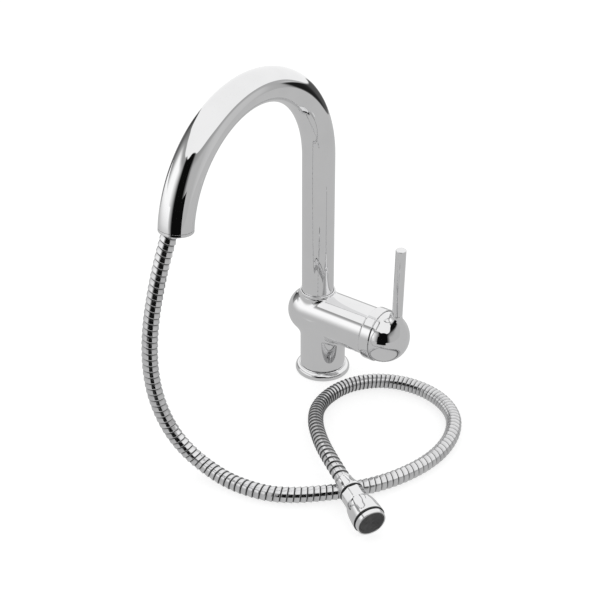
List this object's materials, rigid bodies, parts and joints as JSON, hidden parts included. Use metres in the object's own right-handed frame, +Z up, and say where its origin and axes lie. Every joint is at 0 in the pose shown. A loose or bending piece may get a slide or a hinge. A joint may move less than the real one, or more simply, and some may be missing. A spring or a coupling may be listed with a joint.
{
  "type": "kitchen faucet",
  "caption": "Pull-out kitchen mixer with a high swivel arch spout, a side lever on a horizontal barrel and a spray head on a corrugated metal hose.",
  "frame": {"origin": "on the column's vertical axis, in the plane of the deck that the base flange stands on", "axes": "+Z up along the column; +X along the barrel to the handle; the spout's arch reaches out along -Y"},
  "size_m": [0.2184, 0.2461, 0.3336],
  "materials": {
    "base_flange": "polished",
    "base_gasket": "matt",
    "body_casting": "polished",
    "hot_inlet_nipple": "turned",
    "cold_inlet_nipple": "turned",
    "mixed_outlet_nipple": "turned",
    "cartridge_housing": "moulded",
    "cartridge_nut": "turned",
    "fixed_disc": "lapped",
    "hot_port_seal": "matt",
    "cold_port_seal": "matt",
    "mixed_port_seal": "matt",
    "trim_collar": "polished",
    "spout_tube": "polished",
    "spout_foot": "turned",
    "lower_slip_ring": "moulded",
    "upper_slip_ring": "moulded",
    "spout_thrust_washer": "moulded",
    "spout_retaining_clip": "turned",
    "spout_collar_ring": "polished",
    "mouth_ring": "polished",
    "mouth_guide": "moulded",
    "inner_hose": "polished",
    "hose_inlet_nut": "turned",
    "free_hose": "polished",
    "hose_ferrule": "polished",
    "hose_nipple": "turned",
    "swivel_seal_ring": "matt",
    "cartridge_rotor": "moulded",
    "stem_pivot_pin": "turned",
    "disc_carrier": "moulded",
    "moving_disc": "lapped",
    "handle_stem": "turned",
    "handle_ball": "polished",
    "lever_pin": "polished",
    "handle_set_screw": "turned",
    "head_body": "polished",
    "inlet_washer": "matt",
    "check_valve": "moulded",
    "front_seal_ring": "matt",
    "aerator_ring": "polished",
    "aerator_insert": "moulded",
    "check_valve_poppet": "moulded"
  },
  "bodies": {
    "body": {"base_flange": "base_flange", "base_gasket": "base_gasket", "body_casting": "body_casting", "hot_inlet_nipple": "hot_inlet_nipple", "cold_inlet_nipple": "cold_inlet_nipple", "mixed_outlet_nipple": "mixed_outlet_nipple", "cartridge_housing": "cartridge_housing", "cartridge_nut": "cartridge_nut", "fixed_disc": "fixed_disc", "hot_port_seal": "hot_port_seal", "cold_port_seal": "cold_port_seal", "mixed_port_seal": "mixed_port_seal", "trim_collar": "trim_collar"},
    "spout": {"spout_tube": "spout_tube", "spout_foot": "spout_foot", "lower_slip_ring": "lower_slip_ring", "upper_slip_ring": "upper_slip_ring", "spout_thrust_washer": "spout_thrust_washer", "spout_retaining_clip": "spout_retaining_clip", "spout_collar_ring": "spout_collar_ring", "mouth_ring": "mouth_ring", "mouth_guide": "mouth_guide", "inner_hose": "inner_hose", "hose_inlet_nut": "hose_inlet_nut", "free_hose": "free_hose", "hose_ferrule": "hose_ferrule", "hose_nipple": "hose_nipple", "swivel_seal_ring": "swivel_seal_ring"},
    "rotor": {"cartridge_rotor": "cartridge_rotor", "stem_pivot_pin": "stem_pivot_pin"},
    "disc": {"disc_carrier": "disc_carrier", "moving_disc": "moving_disc"},
    "lever": {"handle_stem": "handle_stem", "handle_ball": "handle_ball", "lever_pin": "lever_pin", "handle_set_screw": "handle_set_screw"},
    "spray_head": {"head_body": "head_body", "inlet_washer": "inlet_washer", "check_valve": "check_valve", "front_seal_ring": "front_seal_ring", "aerator_ring": "aerator_ring", "aerator_insert": "aerator_insert"},
    "valve_poppet": {"check_valve_poppet": "check_valve_poppet"}
  },
  "joints": [
    {"name": "spout_swivel", "type": "hinge", "parent": "body", "child": "spout", "pos_m": [-0.0062, 0, 0.084], "axis": [0, 0, 1], "range_deg": [-60, 60]},
    {"name": "handle_turn", "type": "hinge", "parent": "body", "child": "rotor", "pos_m": [0.0685, 0, 0.0613], "axis": [1, 0, 0], "range_deg": [-45, 45]},
    {"name": "handle_tilt", "type": "hinge", "parent": "rotor", "child": "lever", "pos_m": [0.0685, 0, 0.0613], "axis": [0, 1, 0], "range_deg": [0, 22]},
    {"name": "disc_slide", "type": "slide", "parent": "rotor", "child": "disc", "axis": [0, 0, 1], "range_m": [0, 0.00656]},
    {"name": "spray_head_spin", "type": "hinge", "parent": "spout", "child": "spray_head", "pos_m": [0.1773, -0.1776, 0.01315], "axis": [0.8692, -0.4719, -0.1478], "continuous": true},
    {"name": "valve_poppet_slide", "type": "slide", "parent": "spray_head", "child": "valve_poppet", "axis": [0.8692, -0.4719, -0.1478], "range_m": [0, 0.0015], "stiffness_N_per_m": 60}
  ],
  "couplings": [
    {"joint": "disc_slide", "follows": "handle_tilt", "m_per_rad": 0.017072}
  ]
}
